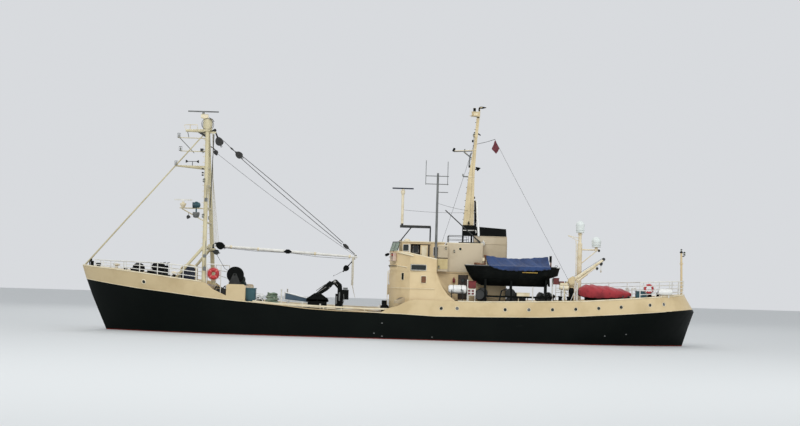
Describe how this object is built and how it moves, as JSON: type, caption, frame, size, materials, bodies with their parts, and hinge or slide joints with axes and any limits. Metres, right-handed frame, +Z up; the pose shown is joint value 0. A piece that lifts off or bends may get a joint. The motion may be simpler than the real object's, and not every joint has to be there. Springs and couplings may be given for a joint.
{
  "type": "1:2 scale model of a small general cargo vessel",
  "caption": "Small raised-quarterdeck coaster with cargo derrick, deck crane, bridge house aft of the hold, covered workboat and twin masts.",
  "frame": {"origin": "amidships, on the centreline, at the waterline", "axes": "+X forward to the bow, +Y to port, +Z up"},
  "size_m": [24.7319, 4.3, 11.0379],
  "materials": {
    "hull_black": "satin black hull paint, red below the waterline",
    "cream_paint": "satin cream paint with faint rust runs",
    "tan_paint": "satin tan paint",
    "deck_red": "matt red oxide deck paint",
    "hatch_grey": "matt grey paint",
    "dark_steel": "dark grey paint, worn at the edges",
    "winch_green": "dark green machinery paint",
    "boom_white": "off-white gloss paint",
    "white_plastic": "white glass-fibre moulding",
    "navy_paint": "dark blue paint on a steel hood",
    "blue_cloth": "blue coated boat cover",
    "red_cloth": "red coated cover",
    "brown_wood": "varnished brown door",
    "propeller_bronze": "cast bronze, dull"
  },
  "bodies": {
    "ship": {"hull_bow": "hull_black", "hull_stern": "hull_black", "hull_midship": "hull_black", "workboat": "hull_black", "funnel_top": "hull_black", "crane_base": "hull_black", "forecastle": "cream_paint", "poop": "cream_paint", "winch_house": "cream_paint", "foremast": "cream_paint", "bridge_house": "cream_paint", "bridge_deck": "cream_paint", "wheelhouse": "cream_paint", "wheelhouse_roof": "cream_paint", "deckhouse": "cream_paint", "aft_mast": "cream_paint", "dome_pillar": "cream_paint", "chart_house": "tan_paint", "funnel_casing": "tan_paint", "well_deck": "deck_red", "hatch_cover_fore": "hatch_grey", "hatch_cover_aft": "hatch_grey", "aerial_mast": "hatch_grey", "hawser_reel_stand": "dark_steel", "radar_platform": "dark_steel", "boat_cradle": "dark_steel", "aft_crane_pedestal": "dark_steel", "windlass_frame": "winch_green", "cargo_winch_frame": "winch_green", "life_raft_port": "white_plastic", "life_raft_starboard": "white_plastic", "dome_upper": "white_plastic", "dome_lower": "white_plastic", "bow_locker": "navy_paint", "workboat_cover": "blue_cloth", "inflatable": "red_cloth"},
    "rudder": {"rudder": "hull_black"},
    "propeller": {"propeller": "propeller_bronze"},
    "fore_scanner_upper": {"fore_scanner_upper": "cream_paint"},
    "fore_scanner_lower": {"fore_scanner_lower": "cream_paint"},
    "bridge_scanner": {"bridge_scanner": "dark_steel"},
    "derrick_heel": {"derrick_heel": "dark_steel"},
    "derrick_boom": {"derrick_boom": "boom_white"},
    "hawser_reel": {"hawser_reel": "hull_black"},
    "windlass_drum": {"windlass_drum": "dark_steel"},
    "cargo_winch_drum": {"cargo_winch_drum": "dark_steel"},
    "crane_column": {"crane_column": "hull_black"},
    "crane_boom": {"crane_boom": "hull_black"},
    "crane_jib": {"crane_jib": "hull_black"},
    "aft_crane_column": {"aft_crane_column": "cream_paint"},
    "aft_crane_boom": {"aft_crane_boom": "cream_paint"},
    "boat_boom_heel": {"boat_boom_heel": "dark_steel"},
    "boat_boom": {"boat_boom": "dark_steel"},
    "wheelhouse_door_port": {"wheelhouse_door_port": "cream_paint"},
    "wheelhouse_door_starboard": {"wheelhouse_door_starboard": "cream_paint"},
    "deckhouse_door_port": {"deckhouse_door_port": "brown_wood"},
    "deckhouse_door_starboard": {"deckhouse_door_starboard": "brown_wood"}
  },
  "joints": [
    {"name": "rudder_turn", "type": "hinge", "parent": "ship", "child": "rudder", "pos_m": [-10.96, 0, -0.95], "axis": [0, 0, 1], "range_deg": [-35, 35]},
    {"name": "propeller_spin", "type": "hinge", "parent": "ship", "child": "propeller", "pos_m": [-10.26, 0, -0.95], "axis": [1, 0, 0], "continuous": true},
    {"name": "fore_scanner_upper_spin", "type": "hinge", "parent": "ship", "child": "fore_scanner_upper", "pos_m": [7.7, 0, 8.83], "axis": [0, 0, 1], "continuous": true},
    {"name": "fore_scanner_lower_spin", "type": "hinge", "parent": "ship", "child": "fore_scanner_lower", "pos_m": [8.4, 0, 5.23], "axis": [0, 0, 1], "continuous": true},
    {"name": "bridge_scanner_spin", "type": "hinge", "parent": "ship", "child": "bridge_scanner", "pos_m": [-0.48, 0, 5.95], "axis": [0, 0, 1], "continuous": true},
    {"name": "derrick_slew", "type": "hinge", "parent": "ship", "child": "derrick_heel", "pos_m": [7.12, 0, 3.48], "axis": [0, 0, 1], "range_deg": [-80, 80]},
    {"name": "derrick_luff", "type": "hinge", "parent": "derrick_heel", "child": "derrick_boom", "pos_m": [7.04, 0, 3.495], "axis": [0, 1, 0], "range_deg": [-3, 70]},
    {"name": "hawser_reel_spin", "type": "hinge", "parent": "ship", "child": "hawser_reel", "pos_m": [6.11, 0.9, 2.3403], "axis": [0, 1, 0], "continuous": true},
    {"name": "windlass_spin", "type": "hinge", "parent": "ship", "child": "windlass_drum", "pos_m": [9.256, 0, 2.425], "axis": [0, 1, 0], "continuous": true},
    {"name": "cargo_winch_spin", "type": "hinge", "parent": "ship", "child": "cargo_winch_drum", "pos_m": [5.96, 0, 2.1603], "axis": [0, 1, 0], "continuous": true},
    {"name": "crane_slew", "type": "hinge", "parent": "ship", "child": "crane_column", "pos_m": [1.9, 1, 1.068], "axis": [0, 0, 1], "range_deg": [-170, 170]},
    {"name": "crane_luff", "type": "hinge", "parent": "crane_column", "child": "crane_boom", "pos_m": [1.92, 1, 1.968], "axis": [0, -1, 0], "range_deg": [-10, 35]},
    {"name": "crane_knuckle", "type": "hinge", "parent": "crane_boom", "child": "crane_jib", "pos_m": [2.13, 1, 2.178], "axis": [0, -1, 0], "range_deg": [-20, 85]},
    {"name": "aft_crane_slew", "type": "hinge", "parent": "ship", "child": "aft_crane_column", "pos_m": [-7.29, 1.15, 2.25], "axis": [0, 0, 1], "range_deg": [-95, 45]},
    {"name": "aft_crane_luff", "type": "hinge", "parent": "aft_crane_column", "child": "aft_crane_boom", "pos_m": [-7.24, 1.15, 2.45], "axis": [0, 1, 0], "range_deg": [-30, 35]},
    {"name": "boat_boom_slew", "type": "hinge", "parent": "ship", "child": "boat_boom_heel", "pos_m": [-3.611, 0.68, 3.86], "axis": [0, 0, 1], "range_deg": [0, 100]},
    {"name": "boat_boom_luff", "type": "hinge", "parent": "boat_boom_heel", "child": "boat_boom", "pos_m": [-3.611, 0.68, 3.936], "axis": [0, -1, 0], "range_deg": [-36, 45]},
    {"name": "wheelhouse_door_port_slide", "type": "slide", "parent": "ship", "child": "wheelhouse_door_port", "axis": [1, 0, 0], "range_m": [0, 0.395]},
    {"name": "wheelhouse_door_starboard_slide", "type": "slide", "parent": "ship", "child": "wheelhouse_door_starboard", "axis": [1, 0, 0], "range_m": [0, 0.395]},
    {"name": "deckhouse_door_port_swing", "type": "hinge", "parent": "ship", "child": "deckhouse_door_port", "pos_m": [-3.165, 0.952, 1.65], "axis": [0, 0, 1], "range_deg": [0, 110]},
    {"name": "deckhouse_door_starboard_swing", "type": "hinge", "parent": "ship", "child": "deckhouse_door_starboard", "pos_m": [-3.165, -0.952, 1.65], "axis": [0, 0, -1], "range_deg": [0, 110]}
  ]
}
